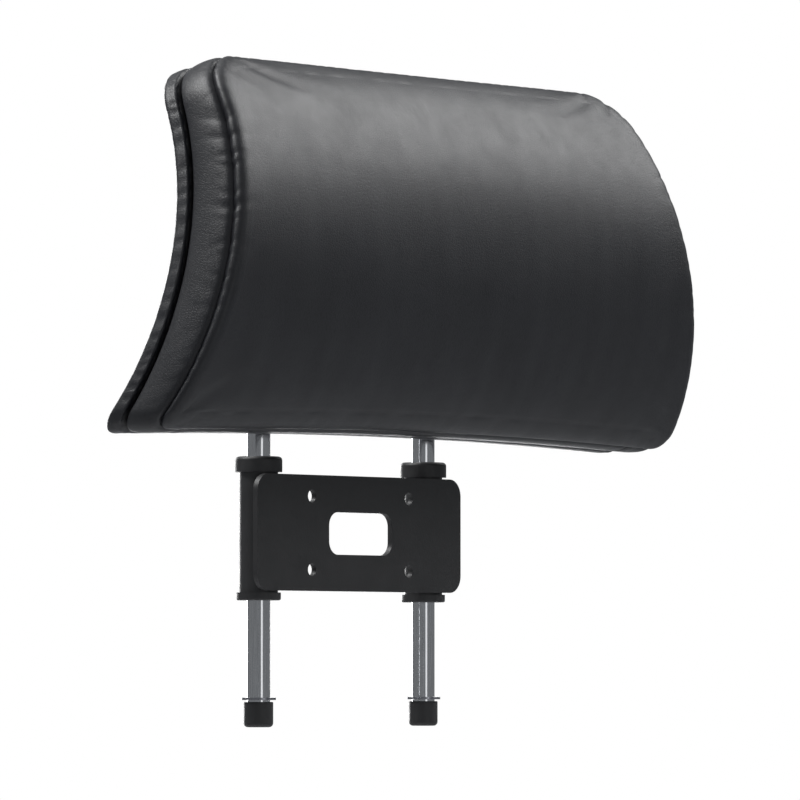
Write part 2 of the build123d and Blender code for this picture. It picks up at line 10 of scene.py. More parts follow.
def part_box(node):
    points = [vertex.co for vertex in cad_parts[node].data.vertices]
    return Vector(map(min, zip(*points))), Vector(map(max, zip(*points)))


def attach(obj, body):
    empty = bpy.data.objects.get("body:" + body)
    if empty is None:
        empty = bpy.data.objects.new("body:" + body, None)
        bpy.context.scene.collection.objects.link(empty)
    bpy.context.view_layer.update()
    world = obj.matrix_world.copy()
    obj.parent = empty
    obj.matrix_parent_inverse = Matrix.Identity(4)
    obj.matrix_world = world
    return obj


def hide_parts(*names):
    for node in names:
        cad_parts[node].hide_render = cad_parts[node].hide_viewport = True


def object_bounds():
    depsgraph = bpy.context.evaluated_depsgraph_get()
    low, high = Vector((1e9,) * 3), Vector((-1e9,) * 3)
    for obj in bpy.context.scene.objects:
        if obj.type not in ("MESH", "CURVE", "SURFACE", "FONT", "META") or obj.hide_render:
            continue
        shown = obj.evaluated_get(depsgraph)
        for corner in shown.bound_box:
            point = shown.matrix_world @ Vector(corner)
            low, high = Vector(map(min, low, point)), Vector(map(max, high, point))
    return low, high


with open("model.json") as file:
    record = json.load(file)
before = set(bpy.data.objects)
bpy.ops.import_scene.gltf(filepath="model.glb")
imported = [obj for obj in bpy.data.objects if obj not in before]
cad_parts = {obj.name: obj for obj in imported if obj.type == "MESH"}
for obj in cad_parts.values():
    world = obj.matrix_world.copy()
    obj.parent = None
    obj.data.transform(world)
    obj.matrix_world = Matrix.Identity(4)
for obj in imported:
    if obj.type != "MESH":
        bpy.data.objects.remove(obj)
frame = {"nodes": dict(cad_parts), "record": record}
cad_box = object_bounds()

# The headrest stands in the CAD frame, in metres: +X is the sitter's left, -Y forward, +Z up.
MM = 0.001

# ---------------------------------------------------------------- the pad's shape, from the frame
FRONT_R, REAR_R = 142.5 * MM, 148 * MM  # arcs of the pad's front and rear faces, about axes along X
PAD_T = 45 * MM
ROD_R = 6 * MM
PAD_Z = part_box("support_rod")[1].z - ROD_R  # the pad tilts about the rod's cross bar
FRONT_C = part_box("cover_front_panel")[0].y + FRONT_R  # y of the arcs' centres
REAR_C = FRONT_C - FRONT_R + PAD_T + REAR_R
BELOW, ABOVE = 92.5 * MM, 101.3 * MM  # bottom and top edges, from the pad's axis
HALF_W, TAPER = 191 * MM, 0.226  # half width at the axis, and how fast it shrinks upwards
TOP_CORNER_R, BOTTOM_CORNER_R = 34 * MM, 10 * MM
BOTTOM_ARCH, ARCH_REACH = 4 * MM, 30 * MM  # rise of the bottom edge, and the height where it fades out
FRONT_TOP_Y = FRONT_C - math.sqrt(FRONT_R**2 - ABOVE**2)
TOP_SLOPE = 0.25  # how fast the top edge falls towards the rear

COVER_INSET = 0.8 * MM
SEAM_DEPTH = 8.5 * MM  # front seam behind the front face, and the radius of the pad's front edge
COVER_REAR = 10.7 * MM  # cover's rear edge in front of the pad's rear face
FOLD_R = 2.0 * MM
TURN_IN = 13 * MM
PLEAT_RISE = 2.6 * MM  # how far the turned-in leather bulges back between its fold and its staples
PLEAT_WIDTH = 0.7  # share of the turned-in leather that the bulge takes up
SHELL_RIM = 8.5 * MM
REAR_EDGE_R = 3.0 * MM
LEATHER = 1.3 * MM
REAR_LEATHER = 1.2 * MM

# Stretches of the outline, in order, and how many steps each is cut into
STRETCHES = ("B", "BR", "R", "TR", "T", "TL", "L", "BL")
STEPS = {"B": 132, "BR": 6, "R": 50, "TR": 22, "T": 116, "TL": 22, "L": 50, "BL": 6}
FINE = 2  # the finished leather has this many times as many steps
GRID_U = STEPS["B"] + STEPS["BL"] // 2 + STEPS["BR"] // 2
GRID_V = STEPS["R"] + STEPS["BR"] // 2 + STEPS["TR"] // 2


def outline_samples(density):
    """Stretch and share along it of each sample, once round from the lower left corner's middle."""
    stretch, share = [], []
    for k, name in enumerate(STRETCHES):
        n = STEPS[name] * density
        stretch += [k] * n
        share += [i / n for i in range(n)]
    start = STEPS["BL"] * density // 2
    return np.roll(stretch, start), np.roll(share, start)


def outline(samples, y, inset):
    """x and z of the outline at depth y, set in by `inset`. z is counted from the pad's axis."""
    stretch, share = samples
    top = ABOVE + (FRONT_TOP_Y - y) * TOP_SLOPE - inset * math.hypot(1, TOP_SLOPE)
    bottom = -BELOW + inset + 0 * y
    side_inset = inset * math.hypot(1, TAPER)
    half_top = HALF_W - TAPER * top - side_inset
    half_bottom = HALF_W - TAPER * bottom - side_inset
    tilt = math.atan(TAPER)
    r_top, r_bottom = max(TOP_CORNER_R - inset, 2 * MM), max(BOTTOM_CORNER_R - inset, 2 * MM)
    t_top = r_top / math.tan(math.pi / 4 + tilt / 2)
    t_bottom = r_bottom / math.tan(math.pi / 4 - tilt / 2)
    low = (half_bottom - t_bottom, bottom)
    high = (half_top - t_top, top)
    side = (math.cos(tilt), math.sin(tilt))
    side_low = (low[0] + r_bottom * side[0], bottom + r_bottom * (1 + side[1]))
    side_high = (high[0] + r_top * side[0], top - r_top * (1 - side[1]))

    def arc(centre_x, centre_z, radius, a0, a1, mirror):
        a = a0 + (a1 - a0) * share
        return mirror * (centre_x + radius * np.cos(a)), centre_z + radius * np.sin(a)

    def line(p, q, mirror_p, mirror_q):
        x = mirror_p * p[0] * (1 - share) + mirror_q * q[0] * share
        return x, p[1] * (1 - share) + q[1] * share

    half_turn = math.pi / 2
    pieces = [
        line(low, low, -1, 1),
        arc(low[0], bottom + r_bottom, r_bottom, -half_turn, tilt, 1),
        line(side_low, side_high, 1, 1),
        arc(high[0], top - r_top, r_top, tilt, half_turn, 1),
        line(high, high, 1, -1),
        arc(high[0], top - r_top, r_top, half_turn, tilt, -1),
        line(side_high, side_low, -1, -1),
        arc(low[0], bottom + r_bottom, r_bottom, tilt, -half_turn, -1),
    ]
    x = np.select([stretch == k for k in range(len(pieces))], [p[0] for p in pieces])
    z = np.select([stretch == k for k in range(len(pieces))], [p[1] for p in pieces])
    near_bottom = np.clip(1 - (z - bottom) / ARCH_REACH, 0, 1)
    return x, z + BOTTOM_ARCH * (1 - (x / half_bottom) ** 2) * near_bottom


def front_y(z, depth):
    """y of the surface `depth` behind the pad's front face, at a height from the pad's axis."""
    return FRONT_C + depth - np.sqrt(FRONT_R**2 - z**2)


def rear_y(z, depth):
    """y of the surface `depth` in front of the pad's rear face, at a height from the pad's axis."""
    return REAR_C - np.sqrt((REAR_R + depth) ** 2 - z**2)


RING_START_Y, RING_ROUNDS = -30 * MM, 12  # first guess of a ring's depth, and how often it is improved


def ring(samples, face, depth, inset):
    """Points round the pad where the outline, set in, meets the surface `depth` from a face."""
    y = np.full(len(samples[0]), RING_START_Y)
    for _ in range(RING_ROUNDS):
        x, z = outline(samples, y, inset)
        y = face(z, depth)
    return np.stack([x, y, z + PAD_Z], axis=1)


def grid_inside(edge, density, face, depth):
    """Rows of points over a face, inside the closed ring `edge`, with the ring as their border."""
    nu, nv = GRID_U * density, GRID_V * density
    x, z = edge[:, 0], edge[:, 2]
    lower, right = np.arange(0, nu + 1), np.arange(nu, nu + nv + 1)
    upper = np.arange(2 * nu + nv, nu + nv - 1, -1)
    left = np.arange(2 * nu + 2 * nv, 2 * nu + nv - 1, -1) % len(edge)
    u = np.linspace(0, 1, nu + 1)[None, :]
    v = np.linspace(0, 1, nv + 1)[:, None]

    def patch(c):
        across = (1 - v) * c[lower][None, :] + v * c[upper][None, :]
        along = (1 - u) * c[left][:, None] + u * c[right][:, None]
        corners = (1 - v) * ((1 - u) * c[lower[0]] + u * c[lower[-1]])
        corners = corners + v * ((1 - u) * c[upper[0]] + u * c[upper[-1]])
        return across + along - corners

    gx, gz = patch(x), patch(z)
    return np.stack([gx, face(gz - PAD_Z, depth), gz], axis=2)


def grid_border(nu, nv):
    """Row and column of each border point of a grid, in the ring's order."""
    rows = [0] * nu + list(range(nv)) + [nv] * nu + list(range(nv, 0, -1))
    cols = list(range(nu)) + [nu] * nv + list(range(nu, 0, -1)) + [0] * nv
    return np.array(rows), np.array(cols)


# ---------------------------------------------------------------- mesh helpers
def new_object(name, verts, faces):
    mesh = bpy.data.meshes.new(name)
    mesh.from_pydata([tuple(v) for v in verts], [], [tuple(f) for f in faces])
    mesh.update()
    mesh.shade_smooth()
    obj = bpy.data.objects.new(name, mesh)
    bpy.context.scene.collection.objects.link(obj)
    return obj


def skin(grid, rings, flip=False):
    """Vertices and quads of a grid closed round by rings. The first ring is the grid's own border.

    Also gives each ring's vertices, and the band and column of each quad, which are -1 on the grid.
    """
    nv, nu = grid.shape[0] - 1, grid.shape[1] - 1
    rows, cols = grid_border(nu, nv)
    n = len(rows)
    ids = np.arange((nv + 1) * (nu + 1)).reshape(nv + 1, nu + 1)
    quads = np.stack([ids[:-1, :-1], ids[:-1, 1:], ids[1:, 1:], ids[1:, :-1]], axis=2).reshape(-1, 4)
    loops = [ids[rows, cols]]
    first = ids.size
    for k in range(1, len(rings)):
        loops.append(np.arange(first, first + n))
        first += n
    bands = []
    for a, b in zip(loops, loops[1:]):
        bands.append(np.stack([a, b, np.roll(b, -1), np.roll(a, -1)], axis=1))
    verts = np.concatenate([grid.reshape(-1, 3)] + list(rings[1:]))
    faces = np.concatenate([quads] + bands)
    band_of = np.concatenate([np.full(len(quads), -1)] + [np.full(n, k) for k in range(len(bands))])
    column_of = np.concatenate([np.full(len(quads), -1)] + [np.arange(n) for _ in bands])
    if flip:
        faces = faces[:, ::-1]
    return verts, faces, loops, band_of, column_of


def vertex_normals(verts, faces):
    """Unit normals of the vertices of a mesh of quads."""
    a, b, c, d = (verts[faces[:, k]] for k in range(4))
    face_normals = np.cross(c - a, d - b)
    normals = np.zeros_like(verts)
    for k in range(4):
        np.add.at(normals, faces[:, k], face_normals)
    return normals / np.maximum(np.linalg.norm(normals, axis=1, keepdims=True), 1e-12)


def apply_modifiers(obj):
    """Put the evaluated mesh in place of the object's own mesh and modifiers."""
    depsgraph = bpy.context.evaluated_depsgraph_get()
    mesh = bpy.data.meshes.new_from_object(obj.evaluated_get(depsgraph))
    old = obj.data
    obj.modifiers.clear()
    obj.data = mesh
    bpy.data.meshes.remove(old)
    mesh.name = obj.name


def panel(name, verts, faces, thickness):
    """One closed panel of leather, of even thickness, from the quads of its outer face."""
    used, inverse = np.unique(faces, return_inverse=True)
    obj = new_object(name, verts[used], inverse.reshape(faces.shape))
    solidify = obj.modifiers.new("thickness", "SOLIDIFY")
    solidify.thickness = thickness
    solidify.offset = -1
    solidify.use_quality_normals = True
    apply_modifiers(obj)
    obj.data.shade_smooth()
    return obj


# ---------------------------------------------------------------- the cover's side profile
ROUND_LEN = SEAM_DEPTH * math.pi / 2
EDGE_SQUARENESS = 0.72  # 1 makes the front edge a quarter circle, and less makes it squarer
GUSSET_LEN = 24 * MM
# Where the rounded edge, the gusset and the rear fold end. The turn-in ends at 4.
SEAM_T, GUSSET_T, FOLD_T = 1.0, 2.0, 3.0


def cover_ring(samples, t, slack=0.0):
    """Ring of the cover: t runs over the rounded edge, the gusset, the rear fold and the turn-in."""
    r = SEAM_DEPTH
    if t <= SEAM_T:
        a = t * math.pi / 2
        depth = slack + r * (1 - math.cos(a) ** EDGE_SQUARENESS)
        inset = COVER_INSET + slack + r * (1 - math.sin(a) ** EDGE_SQUARENESS)
        return ring(samples, front_y, depth, inset)
    rear_depth = COVER_REAR + FOLD_R
    if t <= GUSSET_T:
        seam = ring(samples, front_y, r, COVER_INSET)
        rear = ring(samples, rear_y, rear_depth, COVER_INSET)
        return seam + (rear - seam) * (t - SEAM_T)
    if t <= FOLD_T:
        a = (t - GUSSET_T) * math.pi / 2
        inset = COVER_INSET + FOLD_R * (1 - math.cos(a))
        return ring(samples, rear_y, rear_depth - FOLD_R * math.sin(a), inset)
    inset = COVER_INSET + FOLD_R + (t - FOLD_T) * TURN_IN
    bulge = PLEAT_RISE * math.sin(math.pi * min(1.0, (t - FOLD_T) / PLEAT_WIDTH))
    return ring(samples, rear_y, COVER_REAR - bulge, inset)


def seam_steps(length, near, stride):
    """Distances from a seam, close together beside it and `stride` apart further off."""
    steps = list(near)
    while steps[-1] + stride < length:
        steps.append(steps[-1] + stride)
    return [s for s in steps if s < length]


NEAR_SEAM = [0.35 * MM, 0.8 * MM, 1.4 * MM, 2.2 * MM, 3.2 * MM]
FRONT_STRIDE, GUSSET_STRIDE = 1.25 * MM, 1.4 * MM
BEHIND_GUSSET = (2.25, 2.5, 2.75, 3.0, 3.15, 3.4, 3.7, 4.0)  # the fold's and the turn-in's rings
BEHIND_STEP = 4 * MM  # about how far each unit of t goes there


def fine_profile():
    """Values of t for the finished cover, and each one's signed distance from the front seam."""
    front = seam_steps(ROUND_LEN, NEAR_SEAM, FRONT_STRIDE)
    back = seam_steps(GUSSET_LEN, NEAR_SEAM, GUSSET_STRIDE)
    ts = [0.0] + [SEAM_T - s / ROUND_LEN for s in reversed(front)] + [SEAM_T]
    ds = [ROUND_LEN] + list(reversed(front)) + [0.0]
    ts += [SEAM_T + s / GUSSET_LEN for s in back] + [GUSSET_T]
    ds += [-s for s in back] + [-GUSSET_LEN]
    for t in BEHIND_GUSSET:
        ts.append(t)
        ds.append(-GUSSET_LEN - (t - GUSSET_T) * BEHIND_STEP)
    return ts, ds


# ---------------------------------------------------------------- cloth simulation of the cover
SIM_T = [0.0, 0.2, 0.4, 0.6, 0.8, 0.92, 1.0] + [1 + k / 9 for k in range(1, 10)]  # its rings
SIM_PRESSURE = 6.0
SIM_FRAMES = 20
SIM_CAP = 6 * MM  # furthest that a point may move
SIM_SLACK = 0.8 * MM  # how much smaller than its finished size the pad's face starts
SIM_SLACK_EDGE = 0.6  # share of the rounded edge over which the slack dies away
SETTLE_T = 0.9  # where the slack ends in the finished cover


def simulate_cover():
    """How far the stuffing moves each point of the coarse cover, pressing it out between its seams."""
    samples = outline_samples(1)
    rings = []
    for t in SIM_T:
        share = max(0.0, 1 - t)
        rings.append(cover_ring(samples, t, SIM_SLACK * min(1.0, share / SIM_SLACK_EDGE)))
    grid = grid_inside(rings[0], 1, front_y, SIM_SLACK)
    verts, faces, loops, _, _ = skin(grid, rings)
    obj = new_object("cover_simulation", verts, faces)
    pins = obj.vertex_groups.new(name="pins")
    pins.add([int(i) for i in loops[SIM_T.index(SEAM_T)]], 1.0, "REPLACE")
    pins.add([int(i) for i in loops[-1]], 1.0, "REPLACE")
    cloth = obj.modifiers.new("cloth", "CLOTH")
    s = cloth.settings
    s.quality = 6
    s.mass = 0.4
    s.tension_stiffness = s.compression_stiffness = 50
    s.shear_stiffness = 22
    s.bending_stiffness = 5
    s.use_pressure = True
    s.uniform_pressure_force = SIM_PRESSURE
    s.vertex_group_mass = "pins"
    s.effector_weights.gravity = 0
    cloth.collision_settings.use_collision = False
    scene = bpy.context.scene
    scene.frame_start, scene.frame_end = 1, SIM_FRAMES
    for frame_number in range(1, SIM_FRAMES + 1):
        scene.frame_set(frame_number)
    apply_modifiers(obj)
    co = np.empty(len(verts) * 3)
    obj.data.vertices.foreach_get("co", co)
    scene.frame_set(1)
    bpy.data.objects.remove(obj)
    moved = co.reshape(-1, 3) - verts
    length = np.linalg.norm(moved, axis=1, keepdims=True)
    print("cloth moved the cover by up to", round(float(length.max()) / MM, 2), "mm")
    return moved * np.minimum(1, SIM_CAP / np.maximum(length, 1e-9)), loops, grid.shape


def smooth_rows(a, times, wrap):
    """Average each row with its neighbours, round the end if `wrap`."""
    for _ in range(times):
        if wrap:
            a = (np.roll(a, 1, 0) + 2 * a + np.roll(a, -1, 0)) / 4
        else:
            a = np.concatenate([a[:1], (a[:-2] + 2 * a[1:-1] + a[2:]) / 4, a[-1:]])
    return a


def resample(a, old, new):
    """Rows of a, given at the values `old`, at the values `new`."""
    weights = np.stack([np.interp(new, old, row) for row in np.eye(len(old))], axis=1)
    return np.tensordot(weights, a, axes=1)


def finer(moved, loops, grid_shape, ts):
    """The simulated movement at the finished cover's grid and rings, twice as close together."""
    nv, nu = grid_shape[0] - 1, grid_shape[1] - 1
    on_grid = moved[: (nv + 1) * (nu + 1)].reshape(nv + 1, nu + 1, 3)
    half_v, half_u = np.arange(2 * nv + 1) / 2, np.arange(2 * nu + 1) / 2
    on_grid = smooth_rows(resample(on_grid, np.arange(nv + 1), half_v), 2, False)
    on_grid = on_grid.transpose(1, 0, 2)
    on_grid = smooth_rows(resample(on_grid, np.arange(nu + 1), half_u), 2, False).transpose(1, 0, 2)
    on_rings = np.stack([moved[loop] for loop in loops])
    on_rings = resample(on_rings, SIM_T, np.clip(ts, 0, GUSSET_T)).transpose(1, 0, 2)
    columns = len(loops[0])
    closed = np.concatenate([on_rings, on_rings[:1]])
    on_rings = resample(closed, np.arange(columns + 1), np.arange(2 * columns) / 2)
    return on_grid, smooth_rows(on_rings, 2, True).transpose(1, 0, 2)


# ---------------------------------------------------------------- puckers and seams
def pucker_list(rng, length, spacing, depth, reach):
    """Creases that run off a seam: where each starts, its slant, width, depth and reach."""
    count = int(length / spacing)
    starts = (np.arange(count) + rng.uniform(-0.35, 0.35, count)) * length / count
    slants = rng.uniform(-0.45, 0.45, count)
    widths = rng.uniform(1.3, 2.4, count) * MM
    depths = rng.uniform(0.35, 1.0, count) * depth
    reaches = rng.uniform(0.6, 1.2, count) * reach
    return np.stack([starts, slants, widths, depths, reaches], axis=1)


def pucker(creases, length, along, away):
    """How far the creases draw the leather in, at a place along a seam and a distance away from it.

    A crease is too shallow to count beyond 3 widths or 2.2 reaches.
    """
    total = np.zeros_like(along)
    for start, slant, width, depth, reach in creases:
        gap = np.abs(along - start - slant * away)
        gap = np.minimum(gap, length - gap)
        near = (gap < 3 * width) & (away < 2.2 * reach)
        total[near] += depth * np.exp(-((gap[near] / width) ** 2) - (away[near] / reach) ** 1.6)
    return total


def along_ring(points):
    """Distance along a closed ring to each of its points, and the whole length."""
    step = np.linalg.norm(np.roll(points, -1, 0) - points, axis=1)
    return np.concatenate([[0], np.cumsum(step)[:-1]]), float(step.sum())


GATHER_Z, GATHER_RISE = -40 * MM, 110 * MM  # the gathers grow from this height, over this height
GATHER_X, GATHER_SPAN = 0.72, 0.2  # the same outwards, as shares of the pad's half width


def upper_share(points, low):
    """1 in the pad's upper part, where the leather gathers most, down to `low` in its lower part."""
    return low + (1 - low) * np.clip((points[:, 2] - PAD_Z - GATHER_Z) / GATHER_RISE, 0, 1)


def side_share(points, low):
    """1 beside the pad's ends, where the leather gathers most, down to `low` at its top and bottom."""
    half = HALF_W - TAPER * (points[:, 2] - PAD_Z)
    outwards = (np.abs(points[:, 0]) / half - GATHER_X) / GATHER_SPAN
    return low + (1 - low) * np.clip(outwards, 0, 1)


# ---------------------------------------------------------------- leather cover
TOP_JOIN, BOTTOM_JOIN = 122 * MM, 185 * MM  # x of the seams between gussets and strips
JOIN_DEPTH, JOIN_WIDTH = 1.1 * MM, 1.5 * MM  # those seams' valleys
GUSSET_CROWN = 0.9 * MM
# Creases off the front seam: spacing, depth and reach of the large ones and of the small ones
CREASES, SMALL_CREASES = (9 * MM, 0.85 * MM, 10 * MM), (5 * MM, 0.35 * MM, 5 * MM)
LOW_GATHER = 0.35  # share of the creases' depth that is left where the leather gathers least
LIP, LIP_AWAY, LIP_WIDTH = 0.4 * MM, 4.5 * MM, 3.2 * MM  # swelling of the front panel beside its seam
VALLEYS = ((1.5 * MM, 1.1 * MM), (0.5 * MM, 3.2 * MM))  # depth and width of the seam's cleft and slopes


def build_cover():
    """The five leather panels of the cover, by name."""
    rng = np.random.default_rng(11)
    moved, sim_loops, grid_shape = simulate_cover()
    ts, away = fine_profile()
    samples = outline_samples(FINE)
    rings = [cover_ring(samples, t) for t in ts]
    grid = grid_inside(rings[0], FINE, front_y, 0.0)
    grid_move, ring_move = finer(moved, sim_loops, grid_shape, ts)
    settle = SIM_SLACK * np.clip(1 - np.array(ts) / SETTLE_T, 0, 1)
    verts, faces, loops, band_of, column_of = skin(grid, rings)
    normals = vertex_normals(verts, faces)

    move = np.zeros_like(verts)
    move[: grid_move.shape[0] * grid_move.shape[1]] = grid_move.reshape(-1, 3)
    for k in range(1, len(ts)):
        move[loops[k]] = ring_move[k]
    inward = np.zeros(len(verts))
    inward[: grid_move.shape[0] * grid_move.shape[1]] = SIM_SLACK
    for k in range(1, len(ts)):
        inward[loops[k]] = settle[k]
    move -= normals * inward[:, None]

    seam_band = ts.index(SEAM_T)
    along, length = along_ring(verts[loops[seam_band]])
    along_of, away_of = seam_coordinates(verts, loops, along, away)
    share = side_share(verts, LOW_GATHER) * upper_share(verts, LOW_GATHER)
    creases = pucker_list(rng, length, *CREASES)
    small = pucker_list(rng, length, *SMALL_CREASES)
    distance = np.abs(away_of)
    drawn_in = pucker(creases, length, along_of, distance) + pucker(small, length, along_of, distance)
    shift = -share * drawn_in
    puff = np.exp(-(((distance - LIP_AWAY) / LIP_WIDTH) ** 2))
    shift += LIP * share * puff * (away_of > 0)
    shift -= sum(depth * np.exp(-((distance / width) ** 2)) for depth, width in VALLEYS)
    shift += gusset_crown(verts, ts, loops)
    shift -= strip_valleys(verts, ts, loops, samples)
    shift += tension_lines(verts, grid_move.shape)
    verts = verts + move + normals * shift[:, None]

    parts = panels_of(faces, band_of, column_of, ts, samples)
    return {name: panel(name, verts, faces[mask], LEATHER) for name, mask in parts.items()}


def seam_coordinates(verts, loops, along, away):
    """Each point's distance along the front seam and signed distance from it, positive on the front."""
    along_of = np.zeros(len(verts))
    away_of = np.zeros(len(verts))
    tree = KDTree(len(loops[0]))
    for i, index in enumerate(loops[0]):
        tree.insert(verts[index], i)
    tree.balance()
    on_grid = loops[1][0]
    for index in range(on_grid):
        _, i, gap = tree.find(verts[index])
        along_of[index] = along[i]
        away_of[index] = ROUND_LEN + gap
    for k, loop in enumerate(loops):
        along_of[loop] = along
        away_of[loop] = away[k]
    return along_of, away_of


def gusset_crown(verts, ts, loops):
    """The gusset's own slight fullness between its two seams."""
    shift = np.zeros(len(verts))
    for k, t in enumerate(ts):
        if SEAM_T < t < GUSSET_T:
            shift[loops[k]] = GUSSET_CROWN * math.sin(math.pi * (t - SEAM_T)) ** 0.7
    return shift


def join_places(samples):
    """Column of each of the four seams between a gusset and a strip."""
    ring_points = cover_ring(samples, SEAM_T)
    x, z = ring_points[:, 0], ring_points[:, 2] - PAD_Z
    places = []
    for side, upper in ((1, False), (1, True), (-1, True), (-1, False)):
        join_x = TOP_JOIN if upper else BOTTOM_JOIN
        elsewhere = (x * side < 0) | ((z > 0) != upper)
        places.append(int(np.argmin(np.where(elsewhere, np.inf, np.abs(np.abs(x) - join_x)))))
    return places


def strip_valleys(verts, ts, loops, samples):
    """Depth of the valleys where the gussets meet the top and bottom strips."""
    depth = np.zeros(len(verts))
    for column in join_places(samples):
        for k, t in enumerate(ts):
            if t < SEAM_T:
                continue
            points = verts[loops[k]]
            gap = np.linalg.norm(points - points[column], axis=1)
            depth[loops[k]] += JOIN_DEPTH * np.exp(-((gap / JOIN_WIDTH) ** 2))
    return depth


RIPPLES = 26
RIPPLE_EDGE = 25 * MM  # they fade out this near to the pad's ends


def tension_lines(verts, grid_size):
    """Faint upright ripples in the front panel, from the pull between its top and bottom seams."""
    rng = np.random.default_rng(4)
    shift = np.zeros(len(verts))
    n = grid_size[0] * grid_size[1]
    x, z = verts[:n, 0], verts[:n, 2] - PAD_Z
    for _ in range(RIPPLES):
        wave = rng.uniform(16, 48) * MM
        lean = rng.uniform(-0.08, 0.08)
        phase = rng.uniform(0, 2 * math.pi)
        height = rng.uniform(0.006, 0.022) * MM
        shift[:n] += height * np.sin(2 * math.pi * (x + lean * z) / wave + phase)
    edge = np.minimum(1, np.abs(HALF_W - TAPER * z - np.abs(x)) / RIPPLE_EDGE)
    shift[:n] *= edge
    return shift


def panels_of(faces, band_of, column_of, ts, samples):
    """Which faces belong to each panel of the cover."""
    behind = band_of >= ts.index(SEAM_T)
    c0, c1, c2, c3 = join_places(samples)

    def between(first, last):
        return behind & (column_of >= first) & (column_of < last)

    return {
        "front_panel_leather": ~behind,
        "gusset_leather_left": between(c0, c1),
        "top_strip_leather": between(c1, c2),
        "gusset_leather_right": behind & ((column_of >= c2) | (column_of < c3)),
        "bottom_strip_leather": between(c3, c0),
    }


# ---------------------------------------------------------------- rear cover, glued over the rear shell
# Its profile: the rounded edge, the rim's side, the lip round the rim's front and the turn-in inside it
REAR_PROFILE = (
    [("edge", k / 6) for k in range(7)]
    + [("side", k / 6) for k in range(1, 7)]
    + [("lip", k / 4) for k in range(1, 5)]
    + [("inside", k / 3) for k in range(1, 4)]
)
LIP_R = 1.0 * MM
REAR_TURN_IN = 2.6 * MM
PLEATS = (7 * MM, 0.55 * MM, 6 * MM)  # spacing, depth and reach
LOW_PLEATS = 0.25  # share of the pleats' depth that is left along the top and bottom


def rear_ring(samples, stretch, share):
    """Ring of the rear leather, at a share of the way along a stretch of its profile."""
    r = REAR_EDGE_R
    a = share * math.pi / 2
    if stretch == "edge":
        return ring(samples, rear_y, r * (1 - math.cos(a)), r * (1 - math.sin(a)))
    if stretch == "side":
        return ring(samples, rear_y, r + (SHELL_RIM - LIP_R - r) * share, 0.0)
    if stretch == "lip":
        return ring(samples, rear_y, SHELL_RIM - LIP_R + LIP_R * math.sin(a), LIP_R * (1 - math.cos(a)))
    return ring(samples, rear_y, SHELL_RIM, LIP_R + REAR_TURN_IN * share)


def build_rear_cover():
    """Leather over the shell's rear and rim, drawn into small pleats where it turns the edge."""
    rng = np.random.default_rng(23)
    samples = outline_samples(FINE)
    rings = [rear_ring(samples, stretch, share) for stretch, share in REAR_PROFILE]
    grid = grid_inside(rings[0], FINE, rear_y, 0.0)
    verts, faces, loops, _, _ = skin(grid, rings, flip=True)
    normals = vertex_normals(verts, faces)
    side_band = REAR_PROFILE.index(("side", 0.5))
    along, length = along_ring(verts[loops[side_band]])
    pleats = pucker_list(rng, length, *PLEATS)
    shift = np.zeros(len(verts))
    for loop in loops:
        away = np.linalg.norm(verts[loop] - verts[loops[side_band + 2]], axis=1)
        shift[loop] = -pucker(pleats, length, along, away) * side_share(verts[loop], LOW_PLEATS)
    verts = verts + normals * shift[:, None]
    return panel("rear_cover_leather", verts, faces, REAR_LEATHER)


# ---------------------------------------------------------------- materials
def new_material(name):
    material = bpy.data.materials.new(name)
    material.use_nodes = True
    tree = material.node_tree
    return material, tree, tree.nodes["Principled BSDF"]


def node(tree, kind, inputs=(), **settings):
    """A new node. An input is either a plain value or another node's output, which gets linked."""
    made = tree.nodes.new(kind)
    for key, value in settings.items():
        setattr(made, key, value)
    for key, value in dict(inputs).items():
        if isinstance(value, bpy.types.NodeSocket):
            tree.links.new(value, made.inputs[key])
        else:
            made.inputs[key].default_value = value
    return made


def object_point(tree):
    return node(tree, "ShaderNodeTexCoord").outputs["Object"]


def noise(tree, point, scale, detail, roughness=0.5):
    inputs = {"Vector": point, "Scale": scale, "Detail": detail, "Roughness": roughness}
    return node(tree, "ShaderNodeTexNoise", inputs).outputs["Fac"]


def spread(tree, value, low, high, to_low, to_high):
    """The value, stretched from the range low, high to the range to_low, to_high, and cut off there."""
    inputs = {"Value": value, "From Min": low, "From Max": high, "To Min": to_low, "To Max": to_high}
    return node(tree, "ShaderNodeMapRange", inputs).outputs["Result"]


def patchy(tree, value, low, high):
    """A noise as patches between two levels."""
    return spread(tree, value, 0.3, 0.7, low, high)


def mix_colours(tree, share, first, second, **settings):
    inputs = {0: share, 6: first, 7: second}
    return node(tree, "ShaderNodeMix", inputs, data_type="RGBA", **settings).outputs[2]


def tint(tree, share, first, second):
    """A colour between two, by share."""
    return mix_colours(tree, share, (*first, 1), (*second, 1))


def bump(tree, height, strength, distance, normal=None):
    inputs = {"Height": height, "Strength": strength, "Distance": distance}
    if normal is not None:
        inputs["Normal"] = normal
    return node(tree, "ShaderNodeBump", inputs).outputs["Normal"]


def dress(tree, shader, colour, roughness, normal=None):
    """Link a material's colour, roughness and relief to its shader."""
    tree.links.new(colour, shader.inputs["Base Color"])
    tree.links.new(roughness, shader.inputs["Roughness"])
    if normal is not None:
        tree.links.new(normal, shader.inputs["Normal"])


